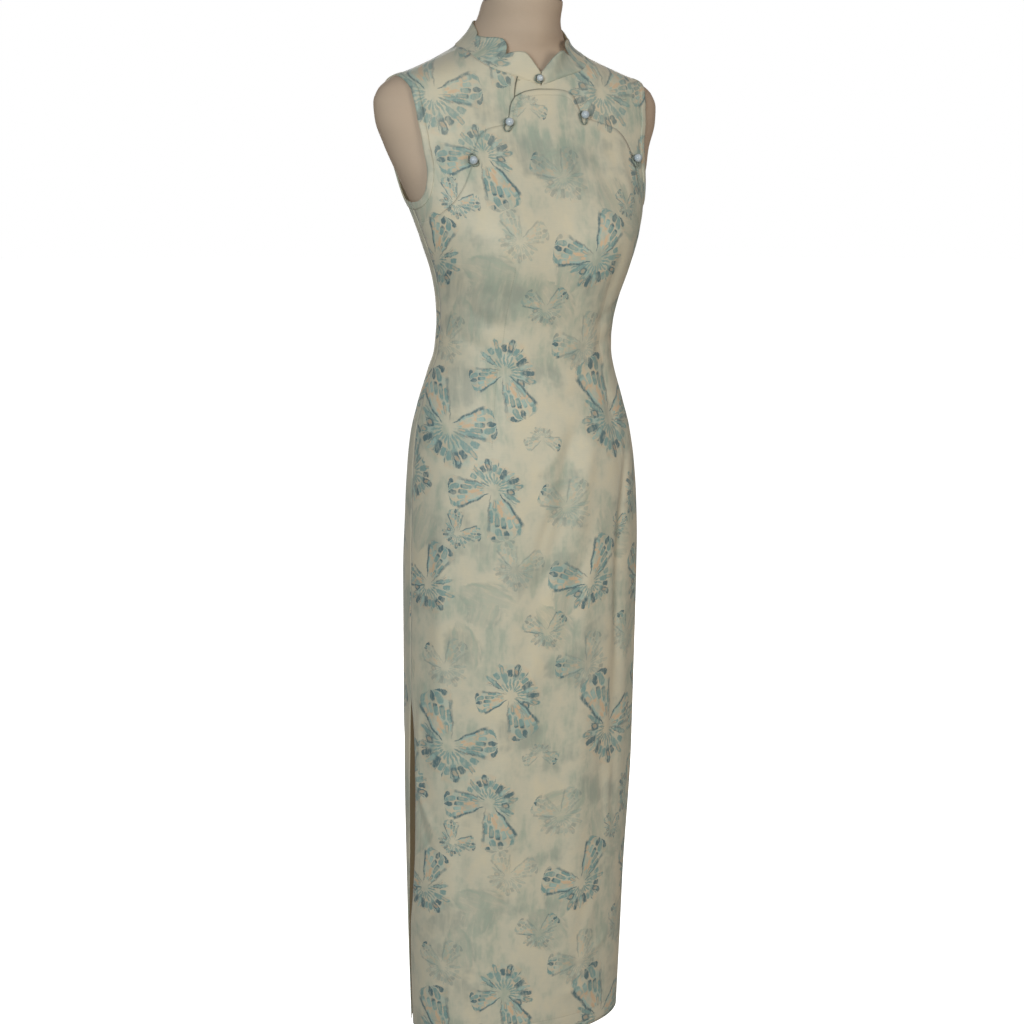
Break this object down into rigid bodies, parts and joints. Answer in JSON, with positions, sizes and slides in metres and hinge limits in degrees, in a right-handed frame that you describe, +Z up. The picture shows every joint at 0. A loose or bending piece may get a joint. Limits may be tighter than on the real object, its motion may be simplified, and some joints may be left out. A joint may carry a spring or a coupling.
{
  "type": "cheongsam dress on dress form",
  "caption": "Long sleeveless cheongsam with a petal-edged stand collar, scalloped placket and side slits, worn by a limbless dress form on a pole with a round base.",
  "frame": {"origin": "middle of the underside of the stand's round base, on the floor", "axes": "+Z up; the dress faces -Y, and the wearer's right side is towards -X"},
  "size_m": [0.3988, 0.36, 1.512],
  "materials": {
    "printed_silk": "softly lustrous woven silk with a printed pattern",
    "pearl": "pearly gloss",
    "loop_cord": "fine twisted cord",
    "form_skin": "matte stretched cover",
    "dark_metal": "satin"
  },
  "bodies": {
    "root": {"front_panel": "printed_silk", "back_panel": "printed_silk", "yoke_right": "printed_silk", "yoke_left": "printed_silk", "collar": "printed_silk", "binding_right": "printed_silk", "binding_left": "printed_silk", "button_1": "pearl", "button_loop_1": "loop_cord", "button_2": "pearl", "button_loop_2": "loop_cord", "button_3": "pearl", "button_loop_3": "loop_cord", "button_4": "pearl", "button_loop_4": "loop_cord", "button_5": "pearl", "button_loop_5": "loop_cord", "form_body": "form_skin", "form_neck_cap": "dark_metal", "stand_base": "dark_metal", "stand_pole": "dark_metal"}
  },
  "joints": []
}
